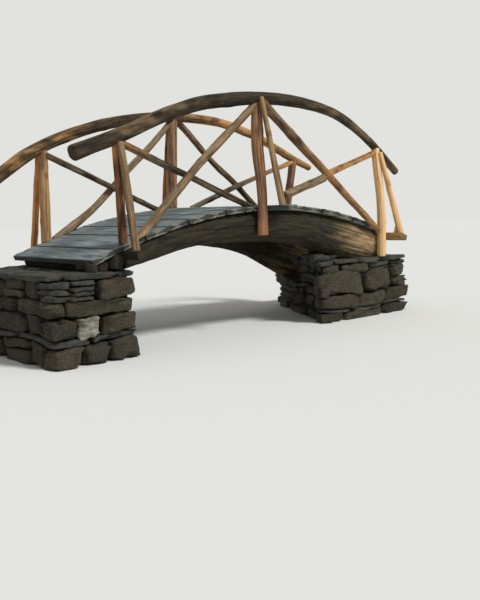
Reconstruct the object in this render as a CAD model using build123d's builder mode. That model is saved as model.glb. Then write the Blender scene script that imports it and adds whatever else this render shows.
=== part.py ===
# Rustic log footbridge on two dry-stone abutments.
# Two curved tree trunks carry an arched deck of cross boards. On each side a handrail log stands on three
# posts, each post is propped by an outward brace on an outrigger, and poles cross between the posts.
# X runs along the bridge, Y from the near side to the far side, Z up. The origin is at ground level.

from build123d import *
from math import acos, asin, cos, degrees, pi, radians, sin, sqrt
import os

os.makedirs("parts", exist_ok=True)

# Deck arch, in millimetres
deck_radius = 5650
crown_x = 250
crown_z = 1270
deck_left_x = -1930
board_thickness = 50
board_gap = 6
deck_half_width = 698
outrigger_reach = 1060
middle_board_number = 8

# Boards from left to right: width along the deck, and how far each end stands out of true
board_widths = [240, 320, 260, 250, 240, 235, 245, 228, 125, 270, 265, 272, 262, 285, 280, 272]
near_overhangs = [0, 8, 14, -6, 10, -4, 6, 0, 0, 4, 12, -8, 10, -2, 2, 0]
far_overhangs = [6, -8, 4, 12, -6, 8, 0, 4, 0, 10, -4, 8, -6, 12, 0, 4]

# Outriggers under the deck
left_outrigger_x = -1612
left_outrigger_radius = 37
left_outrigger_end = 59
right_outrigger_width = 130
right_outrigger_thickness = 62
right_outrigger_near_end = 50
right_outrigger_far_end = 65

# Clearance between pieces that seat on or pass beside each other, and how far a cope runs past a rail's bend
seat_gap = 0.3
cope_lead = 20

# Sill log under the first board
sill_x = -1792
sill_radius = 52
sill_half_length = 640

# Trunks: x, depth of the belly below the boards, half width
girder_stand_out = 2
girder_hewing = 12
girder_facets = 16
girder_end_x = 2060
near_trunk = [
    (-1930, 160, 90), (-1612, 176, 98), (-1240, 215, 120), (-800, 226, 140), (-280, 283, 160),
    (250, 322, 165), (620, 338, 168), (1030, 405, 178), (1290, 436, 185), (1600, 430, 185),
    (1800, 402, 176), (2200, 300, 155), (2600, 210, 135),
]
far_trunk = [
    (-1930, 160, 92), (-1612, 176, 102), (-1240, 232, 130), (-800, 270, 155), (-280, 330, 172),
    (250, 385, 180), (620, 416, 185), (970, 474, 190), (1230, 530, 192), (1430, 596, 188),
    (1630, 652, 180), (1820, 650, 170), (2200, 560, 150), (2600, 450, 120),
]

# Abutments
bridge_half_length = 2400
abutment_margin = 72
abutment_batter = 60
left_face_x = -1570
left_seat_x = -1560
left_seat_drop = 181
right_face_x = 830
right_face_skew = 0.6
right_seat_x = 1600
right_near_seat_drop = 390
right_far_seat_drop = 655
right_step_y = 60
lip_overhang = 90
lip_length = 320
lip_depth = 420
lip_height = 66

# Masonry courses from the ground up: share of the stack's height that each reaches, and how far its near,
# stream and far faces stand out of true
left_courses = [
    (0.26, 12, 30, 10), (0.335, -16, 5, -14), (0.57, 10, 3, 12), (0.74, -6, -25, -10),
    (0.935, 12, 14, 10), (1, -6, 40, 4),
]
right_low_courses = [(0.24, 12, -12, -10), (0.33, -18, -36, 12), (0.7, 12, -10, -8), (1, -8, 20, 10)]
right_high_courses = [(0.41, 12, -30), (0.79, -14, -50), (1, 12, 40)]

# Posts
deck_post_inset = 46
left_post_x = -1590
middle_post_x = -8
far_middle_post_x = -48
right_post_x = 1936
left_post_radius = 36
far_left_post_radius = 46
middle_post_radius = 47
far_middle_post_radius = 51
right_post_radius = 50
middle_post_tail = 294

# Braces
brace_radius = 33
middle_brace_radius = 29
left_brace_spread = 168
middle_brace_inset = 110
right_brace_spread = 237
middle_brace_offset = 76
right_brace_offset = 42
brace_bury = 25

# Poles: how deep a foot runs into the board before it is cut off
pole_bury = 30

# Wedge beside the right brace's foot
wedge_offset = 40
wedge_length = 34
wedge_width = 30
wedge_height = 88
wedge_taper = 8

# Handrails: x, how far inside the deck's edge, height above the deck's arch, radius
near_rail_stations = [
    (-2010, 109, 903, 67), (-1768, 102, 890, 64), (-1533, 92, 897, 62), (-1060, 61, 961, 61),
    (-748, 45, 998, 62), (-398, 37, 1014, 64), (24, 28, 1036, 61), (421, 30, 1047, 60),
    (760, 33, 1056, 55), (1210, 36, 1046, 49), (1720, 40, 955, 43), (2036, 43, 868, 42),
    (2350, 48, 780, 42),
]
far_rail_stations = [
    (-2200, 68, 757, 62), (-2042, 68, 800, 62), (-1750, 68, 880, 61), (-1446, 68, 921, 60),
    (-1128, 68, 946, 58), (-792, 68, 966, 57), (-438, 68, 976, 56), (163, 68, 984, 53),
    (762, 68, 978, 50), (1216, 68, 939, 48), (1704, 68, 875, 46), (1962, 68, 852, 44),
    (2251, 68, 858, 40),
]

# Lines that follow from the deck's width
girder_face = deck_half_width + girder_stand_out
abutment_half_width = deck_half_width + abutment_margin
deck_post_line = deck_half_width - deck_post_inset
left_brace_line = deck_half_width + left_brace_spread
middle_brace_line = outrigger_reach - middle_brace_inset
right_brace_line = deck_half_width + right_brace_spread
left_outrigger_reach = left_brace_line + left_outrigger_end
right_outrigger_near_reach = right_brace_line + right_outrigger_near_end
right_outrigger_far_reach = right_brace_line + right_outrigger_far_end


# Heights and planes of the deck

def deck_height(x):
    """Height of the walking surface's arch at x."""
    return crown_z - deck_radius + sqrt(deck_radius**2 - (x - crown_x) ** 2)


def belly_height(x):
    """Height of the boards' undersides at x."""
    under_radius = deck_radius - board_thickness
    return crown_z - deck_radius + sqrt(under_radius**2 - (x - crown_x) ** 2)


def joint_angles():
    """Angles from the crown, in degrees, of the joints between the boards."""
    angles = [degrees(asin((deck_left_x - crown_x) / deck_radius))]
    for width in board_widths:
        angles.append(angles[-1] + degrees(width / deck_radius))
    return angles


joints = joint_angles()


def joint_point(angle):
    """Point in X and Z where a joint meets the boards' undersides."""
    under_radius = deck_radius - board_thickness
    turn = radians(angle)
    return (crown_x + under_radius * sin(turn), crown_z - deck_radius + under_radius * cos(turn))


def board_chord(number):
    """Length of a board's underside between its two joints."""
    return 2 * (deck_radius - board_thickness) * sin(radians(joints[number + 1] - joints[number]) / 2)


def board_plane(number):
    """Plane of a board's underside, with its X along the bridge."""
    middle = (joints[number] + joints[number + 1]) / 2
    half_turn = radians(joints[number + 1] - joints[number]) / 2
    reach = (deck_radius - board_thickness) * cos(half_turn)
    turn = radians(middle)
    centre = (crown_x + reach * sin(turn), 0, crown_z - deck_radius + reach * cos(turn))
    return Plane(origin=centre, x_dir=(cos(turn), 0, -sin(turn)), z_dir=(sin(turn), 0, cos(turn)))


def board_top(number):
    """Plane of a board's walking face."""
    return board_plane(number).offset(board_thickness)


def board_at(x):
    """Number of the board under a point of the deck."""
    turn = degrees(asin((x - crown_x) / deck_radius))
    passed = [number for number, angle in enumerate(joints[:-1]) if angle <= turn]
    return passed[-1]


def flat_height(plane, x):
    """Height of a plane that runs level across the bridge, at x."""
    return plane.origin.Z - (x - plane.origin.X) * plane.z_dir.X / plane.z_dir.Z


# Logs and poles

def log(stations):
    """A natural tapering log: round sections (x, y, z, radius), square to its run and joined in turn."""
    centres = [Vector(x, y, z) for x, y, z, radius in stations]
    sections = []
    for index, (x, y, z, radius) in enumerate(stations):
        run = centres[min(index + 1, len(centres) - 1)] - centres[max(index - 1, 0)]
        sideways = run.cross(Vector(0, 0.6, 1))
        with BuildSketch(Plane(origin=centres[index], x_dir=sideways, z_dir=run)) as section:
            Circle(radius)
        sections.append(section.sketch)
    loft(sections, ruled=True)


def stick(points, radius):
    """A round stick of one thickness through points, mitred where it bends."""
    with BuildLine() as run:
        Polyline(*points)
    with BuildSketch(Plane(origin=points[0], z_dir=run.line % 0)) as section:
        Circle(radius)
    sweep(section.sketch, path=run.line, transition=Transition.RIGHT)


def raised(stations, side):
    """A handrail's stations on one side, at distances inside the deck's edge and heights over its arch."""
    return [
        (x, side * (deck_half_width - inset), deck_height(x) + height, radius)
        for x, inset, height, radius in stations
    ]


near_rail = raised(near_rail_stations, -1)
far_rail = raised(far_rail_stations, 1)


def cope(rail, low_x, high_x):
    """Cuts away a handrail and its seat's clearance between two places along the bridge."""
    for before, after in zip(rail, rail[1:]):
        if before[0] < high_x and after[0] > low_x:
            start = Vector(*before[:3])
            run = Vector(*after[:3]) - start
            lead = run.normalized() * cope_lead
            add(
                Solid.make_cylinder(
                    max(before[3], after[3]) + seat_gap,
                    run.length + 2 * cope_lead,
                    Plane(origin=start - lead, z_dir=run),
                ),
                mode=Mode.SUBTRACT,
            )


def between(stations, x, column):
    """A value at x, on the straight line between the two stations beside it."""
    for before, after in zip(stations, stations[1:]):
        if before[0] <= x <= after[0]:
            share = (x - before[0]) / (after[0] - before[0])
            return before[column] + share * (after[column] - before[column])


def trunk(stations, side):
    """A girder: upright elliptical sections at the boards' joints, hewn flat on top, whose outer face follows
    the side line."""
    seats = [(left_outrigger_x, flat_height(board_plane(board_at(left_outrigger_x)), left_outrigger_x))]
    seats += [joint_point(angle) for angle in joints if joint_point(angle)[0] > left_outrigger_x]
    seats += [(girder_end_x, flat_height(board_plane(len(board_widths) - 1), girder_end_x))]
    sections = []
    for x, seat in seats:
        half_width = between(stations, x, 2)
        half_height = (between(stations, x, 1) + girder_hewing) / 2
        edge = acos(1 - girder_hewing / half_height)
        centre = (x, side * (girder_face - half_width), seat + girder_hewing - half_height)
        outline = []
        for step in range(girder_facets + 1):
            turn = edge + step * 2 * (pi - edge) / girder_facets
            outline.append((half_width * sin(turn), half_height * cos(turn)))
        with BuildSketch(Plane(origin=centre, x_dir=(0, 1, 0), z_dir=(1, 0, 0))) as section:
            with BuildLine():
                Polyline(*outline, close=True)
            make_face()
        sections.append(section.sketch)
    loft(sections, ruled=True)


def save(part, name):
    part.label = name
    export_step(part, f"parts/{name}.step")


# Abutments: battered masonry in courses, stepped on the right where the bank falls away on the far side

left_seat_z = belly_height(left_seat_x) - left_seat_drop
right_near_seat_z = belly_height(right_seat_x) - right_near_seat_drop
right_far_seat_z = belly_height(right_seat_x) - right_far_seat_drop


def right_face_at(y):
    """Place of the right abutment's skewed stream face at y."""
    return right_face_x + right_face_skew * (y + abutment_half_width)


def course(outline, low, high):
    """One level course of masonry."""
    with BuildSketch(Plane.XY.offset(low)) as section:
        with BuildLine():
            Polyline(*outline, close=True)
        make_face()
    extrude(section.sketch, amount=high - low)


def batter_at(low, high, seat):
    """How far a course stands out at its near and far face, because both lean in towards the seat."""
    return abutment_batter * (1 - (low + high) / (2 * seat))


with BuildPart() as abutment_left:
    low = 0
    for share, near_out, stream_out, far_out in left_courses:
        high = share * left_seat_z
        batter = batter_at(low, high, left_seat_z)
        face_x = left_face_x + stream_out
        near_y = -abutment_half_width - batter - near_out
        far_y = abutment_half_width + batter + far_out
        course(
            [
                (-bridge_half_length, near_y),
                (face_x, near_y),
                (face_x, far_y),
                (-bridge_half_length, far_y),
            ],
            low, high,
        )
        low = high
save(abutment_left.part, "abutment_left")

with BuildPart() as abutment_right:
    low = 0
    for share, near_out, stream_out, far_out in right_low_courses:
        high = share * right_far_seat_z
        batter = batter_at(low, high, right_near_seat_z)
        near_y = -abutment_half_width - batter - near_out
        far_y = abutment_half_width + batter + far_out
        course(
            [
                (right_face_at(near_y) - stream_out, near_y),
                (bridge_half_length, near_y),
                (bridge_half_length, far_y),
                (right_face_at(far_y) - stream_out, far_y),
            ],
            low, high,
        )
        low = high
    for share, near_out, stream_out in right_high_courses:
        high = right_far_seat_z + share * (right_near_seat_z - right_far_seat_z)
        batter = batter_at(low, high, right_near_seat_z)
        near_y = -abutment_half_width - batter - near_out
        course(
            [
                (right_face_at(near_y) - stream_out, near_y),
                (bridge_half_length, near_y),
                (bridge_half_length, right_step_y),
                (right_face_at(right_step_y) - stream_out, right_step_y),
            ],
            low, high,
        )
        low = high
    lip_far_y = lip_depth - abutment_half_width
    lip_start_x = right_face_x - lip_overhang
    lip_end_x = lip_start_x + lip_length
    course(
        [
            (lip_start_x, -abutment_half_width),
            (lip_end_x, -abutment_half_width),
            (lip_end_x, lip_far_y),
            (right_face_at(lip_far_y) - lip_overhang, lip_far_y),
        ],
        right_near_seat_z, right_near_seat_z + lip_height,
    )
save(abutment_right.part, "abutment_right")

# Deck boards, the middle one long enough to carry the braces on both sides

boards = []
for number in range(len(board_widths)):
    near = deck_half_width + near_overhangs[number]
    far = deck_half_width + far_overhangs[number]
    if number == middle_board_number:
        near = outrigger_reach
        far = outrigger_reach
    with BuildPart() as board:
        with BuildSketch(board_plane(number)):
            with Locations((0, (far - near) / 2)):
                Rectangle(board_chord(number) - board_gap, near + far)
        extrude(amount=board_thickness)
    boards.append(board.part)
    save(board.part, "outrigger_middle" if number == middle_board_number else f"deck_board_{number + 1:02d}")

# Left outrigger: a round pole under the second board

left_board = board_at(left_outrigger_x)
left_tilt = radians((joints[left_board] + joints[left_board + 1]) / 2)
left_outrigger_z = (
    flat_height(board_plane(left_board), left_outrigger_x) - left_outrigger_radius / cos(left_tilt)
)
with BuildPart() as outrigger_left:
    with BuildSketch(Plane.XZ):
        with Locations((left_outrigger_x, left_outrigger_z)):
            Circle(left_outrigger_radius)
    extrude(amount=left_outrigger_reach, both=True)
save(outrigger_left.part, "outrigger_left")

# Right outrigger: a plank under the last board's end, close behind the right posts

last_board = len(board_widths) - 1
last_plane = board_plane(last_board)
right_tilt = radians((joints[last_board] + joints[last_board + 1]) / 2)
right_outrigger_x = (
    right_post_x + right_post_radius + seat_gap + right_outrigger_thickness * sin(right_tilt)
)
right_outrigger_start = (right_outrigger_x - last_plane.origin.X) / cos(right_tilt)
with BuildPart() as outrigger_right:
    with BuildSketch(last_plane):
        with Locations(
            (
                right_outrigger_start + right_outrigger_width / 2,
                (right_outrigger_far_reach - right_outrigger_near_reach) / 2,
            )
        ):
            Rectangle(right_outrigger_width, right_outrigger_near_reach + right_outrigger_far_reach)
    extrude(amount=-right_outrigger_thickness)
save(outrigger_right.part, "outrigger_right")

# Sill log under the first board, bedded flat on the left abutment

sill_board = board_at(sill_x)
sill_tilt = radians((joints[sill_board] + joints[sill_board + 1]) / 2)
sill_z = flat_height(board_plane(sill_board), sill_x) - sill_radius / cos(sill_tilt)
with BuildPart() as sill_log:
    with BuildSketch(Plane.XZ):
        with Locations((sill_x, sill_z)):
            Circle(sill_radius)
    extrude(amount=sill_half_length, both=True)
    add(abutment_left.part, mode=Mode.SUBTRACT)
save(sill_log.part, "sill_log")

# Trunks, hewn flat for each board, notched for the outriggers and bedded on the masonry

for name, stations, side in (("girder_near", near_trunk, -1), ("girder_far", far_trunk, 1)):
    with BuildPart() as girder:
        trunk(stations, side)
        add(outrigger_left.part, mode=Mode.SUBTRACT)
        add(outrigger_right.part, mode=Mode.SUBTRACT)
        add(abutment_left.part, mode=Mode.SUBTRACT)
        add(abutment_right.part, mode=Mode.SUBTRACT)
    save(girder.part, name)

# Handrails

with BuildPart() as handrail_near:
    log(near_rail)
save(handrail_near.part, "handrail_near")

with BuildPart() as handrail_far:
    log(far_rail)
save(handrail_far.part, "handrail_far")

# Posts: three stand on the deck and three run down past its edge

posts = {}


def deck_post(name, foot_x, side, head, radius, rail):
    """A post that stands on a board and is coped to the handrail."""
    floor = board_top(board_at(foot_x))
    foot = (foot_x, side * deck_post_line, flat_height(floor, foot_x) - board_thickness)
    with BuildPart() as post:
        stick([foot, head], radius)
        split(bisect_by=floor, keep=Keep.TOP)
        cope(rail, head[0] - radius, head[0] + radius)
    posts[name] = post.part
    save(post.part, name)


def outer_post(name, x, side, foot_z, head, radius, rail):
    """A post that runs down beside the trunk, housed in the boards' ends."""
    foot_y = side * (girder_face + radius + seat_gap)
    with BuildPart() as post:
        stick([(x, foot_y, foot_z), (x, foot_y, deck_height(x) + board_thickness), head], radius)
        cope(rail, head[0] - radius, head[0] + radius)
        for board in boards:
            if board.bounding_box().min.X < x + radius and board.bounding_box().max.X > x - radius:
                add(board, mode=Mode.SUBTRACT)
    posts[name] = post.part
    save(post.part, name)


def rail_point(rail, x):
    """Point on a handrail's centre line at x."""
    return (x, between(rail, x, 1), between(rail, x, 2))


near_left_head = rail_point(near_rail, left_post_x - 10)
near_middle_head = rail_point(near_rail, middle_post_x + 16)
near_right_head = rail_point(near_rail, right_post_x + 4)
far_left_head = rail_point(far_rail, left_post_x - 8)
far_middle_head = rail_point(far_rail, middle_post_x + 8)
far_right_head = rail_point(far_rail, right_post_x + 8)

deck_post("post_near_left", left_post_x, -1, near_left_head, left_post_radius, near_rail)
deck_post("post_far_left", left_post_x, 1, far_left_head, far_left_post_radius, far_rail)
deck_post("post_far_middle", far_middle_post_x, 1, far_middle_head, far_middle_post_radius, far_rail)
outer_post(
    "post_near_middle", middle_post_x, -1, crown_z - middle_post_tail, near_middle_head,
    middle_post_radius, near_rail,
)
outer_post(
    "post_near_right", right_post_x, -1, right_near_seat_z, near_right_head, right_post_radius, near_rail
)
outer_post(
    "post_far_right", right_post_x, 1, right_near_seat_z, far_right_head, right_post_radius, far_rail
)

# Braces: outward props from the outriggers to the post heads

braces = {}


def brace(name, foot, post_head, offset, radius, floor, rail, cutters):
    """A prop from an outrigger to a place beside a post's head, cut off flat where it has a floor."""
    head = Vector(*post_head) + Vector(*offset)
    with BuildPart() as prop:
        stick([foot, (head.X, head.Y, head.Z)], radius)
        if floor is not None:
            split(bisect_by=floor, keep=Keep.TOP)
        cope(rail, head.X - 2 * radius, head.X + 2 * radius)
        for cutter in cutters:
            add(cutter, mode=Mode.SUBTRACT)
    braces[name] = prop.part
    save(prop.part, name)


middle_floor = board_top(middle_board_number)
middle_foot_x = middle_post_x + middle_brace_offset
middle_foot_z = flat_height(middle_floor, middle_foot_x) - brace_bury
right_foot_x = right_outrigger_x + right_brace_offset
right_foot_z = flat_height(last_plane, right_foot_x) - brace_bury

brace(
    "brace_near_left", (left_outrigger_x, -left_brace_line, left_outrigger_z),
    near_left_head, (-2, -71, -50), brace_radius, None, near_rail,
    [outrigger_left.part, posts["post_near_left"]],
)
brace(
    "brace_far_left", (left_outrigger_x, left_brace_line, left_outrigger_z),
    far_left_head, (4, 79, -56), brace_radius, None, far_rail,
    [outrigger_left.part, posts["post_far_left"]],
)
brace(
    "brace_near_middle", (middle_foot_x, -middle_brace_line, middle_foot_z),
    near_middle_head, (-6, -82, -4), middle_brace_radius, middle_floor, near_rail,
    [posts["post_near_middle"]],
)
brace(
    "brace_far_middle", (middle_foot_x, middle_brace_line, middle_foot_z),
    far_middle_head, (6, 78, -50), middle_brace_radius, middle_floor, far_rail,
    [posts["post_far_middle"]],
)
brace(
    "brace_near_right", (right_foot_x, -right_brace_line, right_foot_z),
    near_right_head, (46, -59, -62), brace_radius, last_plane, near_rail,
    [posts["post_near_right"]],
)
brace(
    "brace_far_right", (right_foot_x, right_brace_line, right_foot_z),
    far_right_head, (40, 76, -50), brace_radius, last_plane, far_rail,
    [posts["post_far_right"]],
)

# Wedge beside the right brace's foot

with BuildPart() as wedge_right:
    with BuildSketch(last_plane):
        with Locations((right_outrigger_start + wedge_offset, wedge_width + brace_radius - right_brace_line)):
            Rectangle(wedge_length, wedge_width)
    extrude(amount=wedge_height, taper=wedge_taper)
    add(braces["brace_near_right"], mode=Mode.SUBTRACT)
save(wedge_right.part, "wedge_right")

# Poles between the posts, each coped to what it meets

poles = {}


def pole(name, points, radius, floor, rail, cutters):
    """A natural pole, cut off on a board's face where it stands on one and coped to the rail it meets."""
    with BuildPart() as length:
        stick(points, radius)
        if floor is not None:
            split(bisect_by=floor, keep=Keep.TOP)
        if rail is not None:
            for end in (points[0], points[-1]):
                cope(rail, end[0] - 4 * radius, end[0] + 4 * radius)
        for cutter in cutters:
            add(cutter, mode=Mode.SUBTRACT)
    poles[name] = length.part
    save(length.part, name)


def near_edge(outward):
    """Place across the bridge outward of the deck's near edge, or inside it where outward is below zero."""
    return -deck_half_width - outward


def far_edge(outward):
    """Place across the bridge outward of the deck's far edge, or inside it where outward is below zero."""
    return deck_half_width + outward


def on_deck(x, y):
    """A point a little below the walking face at x, for a foot that is then cut off on the board."""
    return (x, y, flat_height(board_top(board_at(x)), x) - pole_bury)


def over_deck(x, y, height):
    """A point at a height above the deck's arch."""
    return (x, y, deck_height(x) + height)


pole(
    "diagonal_near_1", [on_deck(-1490, near_edge(-8)), over_deck(-24, near_edge(-14), 972)], 35,
    board_top(board_at(-1490)), near_rail, [posts["post_near_middle"]],
)
pole(
    "diagonal_near_2", [over_deck(-1578, near_edge(-95), 844), on_deck(-66, near_edge(-44))], 30,
    board_top(board_at(-66)), near_rail,
    [posts["post_near_left"], posts["post_near_middle"], braces["brace_near_left"],
     poles["diagonal_near_1"]],
)
pole(
    "diagonal_near_3", [over_deck(56, near_edge(-12), 1000), over_deck(1900, near_edge(56), -84)], 40,
    None, near_rail,
    [posts["post_near_middle"], posts["post_near_right"], braces["brace_near_middle"]],
)
pole(
    "diagonal_near_4", [over_deck(1912, near_edge(-38), 846), over_deck(1012, near_edge(20), 372)], 29,
    None, near_rail,
    [posts["post_near_right"], poles["diagonal_near_3"], braces["brace_near_right"]],
)
pole(
    "diagonal_near_5", [over_deck(946, near_edge(22), 318), over_deck(88, -middle_brace_line, 92)], 38,
    None, None,
    [poles["diagonal_near_3"], poles["diagonal_near_4"], braces["brace_near_middle"]],
)
pole(
    "diagonal_far_1",
    [on_deck(-1500, far_edge(-43)), over_deck(-1248, far_edge(-43), 59),
     over_deck(-1061, far_edge(-43), 138), over_deck(-848, far_edge(-43), 272),
     over_deck(-627, far_edge(-43), 440), over_deck(-331, far_edge(-48), 655),
     over_deck(-22, far_edge(-58), 930)],
    34, board_top(board_at(-1500)), far_rail, [posts["post_far_middle"]],
)
pole(
    "diagonal_far_2", [over_deck(-1584, far_edge(-98), 818), on_deck(-250, far_edge(-114))], 29,
    board_top(board_at(-250)), far_rail, [posts["post_far_left"], poles["diagonal_far_1"]],
)
pole(
    "diagonal_far_3",
    [over_deck(44, far_edge(-56), 958), over_deck(127, far_edge(-40), 909),
     over_deck(470, far_edge(-30), 630), over_deck(703, far_edge(-28), 460),
     over_deck(947, far_edge(-28), 322), over_deck(1226, far_edge(-34), 127),
     on_deck(1460, far_edge(-38))],
    34, board_top(board_at(1460)), far_rail, [posts["post_far_middle"]],
)
pole(
    "diagonal_far_4",
    [on_deck(214, far_edge(-94)), over_deck(852, far_edge(-98), 247),
     over_deck(1500, far_edge(-96), 568), over_deck(1910, far_edge(-76), 800)],
    28, board_top(board_at(214)), far_rail, [posts["post_far_right"], poles["diagonal_far_3"]],
)
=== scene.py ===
from math import cos, pi, sin

import bpy
import numpy as np
from mathutils import Matrix, Vector


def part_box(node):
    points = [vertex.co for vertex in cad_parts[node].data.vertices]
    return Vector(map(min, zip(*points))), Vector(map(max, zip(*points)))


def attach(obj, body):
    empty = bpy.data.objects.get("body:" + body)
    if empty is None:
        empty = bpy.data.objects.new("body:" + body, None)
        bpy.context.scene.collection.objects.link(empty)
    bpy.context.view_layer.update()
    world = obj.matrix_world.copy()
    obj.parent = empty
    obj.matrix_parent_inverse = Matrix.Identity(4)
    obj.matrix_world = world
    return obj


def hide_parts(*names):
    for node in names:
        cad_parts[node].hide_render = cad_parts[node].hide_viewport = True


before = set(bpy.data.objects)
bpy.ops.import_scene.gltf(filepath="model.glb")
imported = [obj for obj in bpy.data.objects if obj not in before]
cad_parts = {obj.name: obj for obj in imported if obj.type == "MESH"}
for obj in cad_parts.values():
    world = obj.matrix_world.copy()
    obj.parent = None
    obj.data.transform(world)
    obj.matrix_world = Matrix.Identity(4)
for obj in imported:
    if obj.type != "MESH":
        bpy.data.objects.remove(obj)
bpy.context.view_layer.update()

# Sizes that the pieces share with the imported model, in metres
deck_radius = 5.65
crown_x = 0.25
crown_z = 1.27
board_thickness = 0.05
trunk_face = 0.70
abutment_half_width = 0.77
abutment_batter = 0.06


# Camera, at the photograph's place and angle

def aim_camera(place, heading, pitch, roll, lens):
    """A camera whose heading turns from +Y towards +X, pitch lifts it and roll tips its right side up."""
    level = Vector((cos(heading), -sin(heading), 0))
    ahead = Vector((sin(heading), cos(heading), 0)) * cos(pitch) + Vector((0, 0, 1)) * sin(pitch)
    upright = level.cross(ahead)
    right = level * cos(roll) + upright * sin(roll)
    up = upright * cos(roll) - level * sin(roll)
    camera = bpy.data.objects.new("camera", bpy.data.cameras.new("camera"))
    camera.data.lens = lens
    camera.data.sensor_width = 36
    turn = Matrix((right, up, -ahead)).transposed().to_4x4()
    camera.matrix_world = Matrix.Translation(place) @ turn
    bpy.context.scene.collection.objects.link(camera)
    bpy.context.scene.camera = camera


aim_camera(place=(-5.254, -5.954, 1.202), heading=0.7568, pitch=-0.1164, roll=-0.0196, lens=45)


# Shapes

def deck_height(x):
    """Height of the walking surface's arch at x: a circle through the crown."""
    return crown_z - deck_radius + np.sqrt(deck_radius**2 - (np.asarray(x) - crown_x) ** 2)


def noise(points, cell, seed):
    """Value noise from -1 to 1: random numbers on the corners of a grid of cells, blended inside a cell by
    3t^2 - 2t^3 along each axis. The grid repeats itself after so many cells."""
    cells = 32
    table = np.random.default_rng(seed).uniform(-1, 1, (cells, cells, cells))
    scaled = np.asarray(points, float) / np.asarray(cell, float)
    low = np.floor(scaled).astype(int)
    share = scaled - low
    share = share * share * (3 - 2 * share)
    total = 0
    for corner in np.ndindex(2, 2, 2):
        weight = np.prod(np.where(np.array(corner) == 1, share, 1 - share), axis=-1)
        place = (low + corner) % cells
        total = total + weight * table[place[..., 0], place[..., 1], place[..., 2]]
    return total


def layered(points, cell, seed, layers=3):
    """Noise in layers, each with half the cell and half the height of the one before."""
    cell = np.asarray(cell, float)
    return sum(noise(points, cell / 2**layer, seed + layer) / 2**layer for layer in range(layers))


def smooth_path(stations, steps):
    """Points, radii and distances on a smooth curve through stations (x, y, z, radius): between two stations
    runs a cubic whose slope at each is that of its neighbours, with the distance along as parameter."""
    stations = np.array(stations, float)
    gaps = np.linalg.norm(np.diff(stations[:, :3], axis=0), axis=1)
    distance = np.concatenate([[0], np.cumsum(gaps)])
    slope = np.gradient(stations, distance, axis=0)
    along = np.linspace(0, distance[-1], steps)
    index = np.clip(np.searchsorted(distance, along, side="right") - 1, 0, len(gaps) - 1)
    span = gaps[index][:, None]
    t = (along - distance[index])[:, None] / span
    value = (2 * t**3 - 3 * t**2 + 1) * stations[index] + (t**3 - 2 * t**2 + t) * span * slope[index]
    value = value + (3 * t**2 - 2 * t**3) * stations[index + 1] + (t**3 - t**2) * span * slope[index + 1]
    return value[:, :3], value[:, 3], along


def path_axes(centres, across):
    """Unit vectors along a path, and two square to it, the first as near as it can be to the given one."""
    ahead = np.gradient(centres, axis=0)
    ahead /= np.linalg.norm(ahead, axis=1)[:, None]
    first = np.array(across, float) - (ahead @ np.array(across, float))[:, None] * ahead
    first /= np.linalg.norm(first, axis=1)[:, None]
    return ahead, first, np.cross(ahead, first)


def apart(angle, middle):
    """How far one angle is from another, from -pi to pi."""
    return (angle - middle + pi) % (2 * pi) - pi


def splits(angle, along, radius, count, width, seed):
    """Share from 0 to 1 of the depth of splits along the grain: each is a bell curve across the log, about an
    angle that drifts slowly, and fades to nothing at both of its ends."""
    chance = np.random.default_rng(seed)
    share = np.zeros(np.broadcast(angle, along, radius).shape)
    for _ in range(count):
        middle, half = chance.uniform(0, along.max()), chance.uniform(0.12, 0.55)
        drift = chance.uniform(0, 2 * pi) + chance.uniform(-0.25, 0.25) * (along - middle)
        drift = drift + 0.07 * np.sin(along * chance.uniform(9, 22) + chance.uniform(0, 6))
        reach = np.clip(1 - ((along - middle) / half) ** 2, 0, 1) ** 0.6
        bell = np.exp(-((apart(angle, drift) * radius / (width * (0.5 + 0.5 * reach))) ** 2))
        share = np.maximum(share, reach * bell * chance.uniform(0.45, 1))
    return share


def knots(angle, along, radius, count, size, seed):
    """Height share of knots: a swelling, longer than wide, with a shallow dimple at each of a few places."""
    longer, dimple = 1.5, 0.7
    chance = np.random.default_rng(seed + 500)
    share = np.zeros(np.broadcast(angle, along, radius).shape)
    for _ in range(count):
        turned = apart(angle, chance.uniform(0, 2 * pi))
        off = ((along - chance.uniform(0.05, 0.95) * along.max()) / longer) ** 2 + (turned * radius) ** 2
        off = off / (size * chance.uniform(0.6, 1.1)) ** 2
        share = share + np.exp(-off) - dimple * np.exp(-off * 7)
    return share


def tube_faces(rows, around):
    """Quads between neighbouring rows of a closed tube and a fan of triangles to the pole at each end."""
    row, column = np.meshgrid(np.arange(rows - 1) * around, np.arange(around), indexing="ij")
    following = (column + 1) % around
    quads = np.stack([row + column, row + following, row + around + following, row + around + column], -1)
    ring = np.arange(around)
    after = (ring + 1) % around
    last = (rows - 1) * around
    start = np.stack([np.full(around, rows * around), after, ring], -1)
    end = np.stack([np.full(around, rows * around + 1), last + ring, last + after], -1)
    return quads.reshape(-1, 4), np.concatenate([start, end])


def closed(rows_of_points):
    """A tube's rows as a list of points, with the middles of its first and last rows as its poles."""
    flat = rows_of_points.reshape(-1, rows_of_points.shape[-1])
    return np.concatenate([flat, rows_of_points[:1].mean(1), rows_of_points[-1:].mean(1)])


def add_piece(name, points, quads, fans, marks, finish, node):
    """A mesh object with its marks as point attributes, which stands for a CAD node."""
    mesh = bpy.data.meshes.new(name)
    mesh.from_pydata(points.tolist(), [], quads.tolist() + fans.tolist())
    mesh.polygons.foreach_set("use_smooth", np.ones(len(mesh.polygons), bool))
    for mark, values in marks.items():
        kind, key = ("FLOAT_VECTOR", "vector") if values.ndim == 2 else ("FLOAT", "value")
        attribute = mesh.attributes.new(mark, kind, "POINT")
        attribute.data.foreach_set(key, values.astype(np.float32).ravel())
    mesh.materials.append(finish)
    piece = bpy.data.objects.new(name, mesh)
    bpy.context.scene.collection.objects.link(piece)
    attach(piece, "root")
    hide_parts(node)
    return piece


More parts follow.
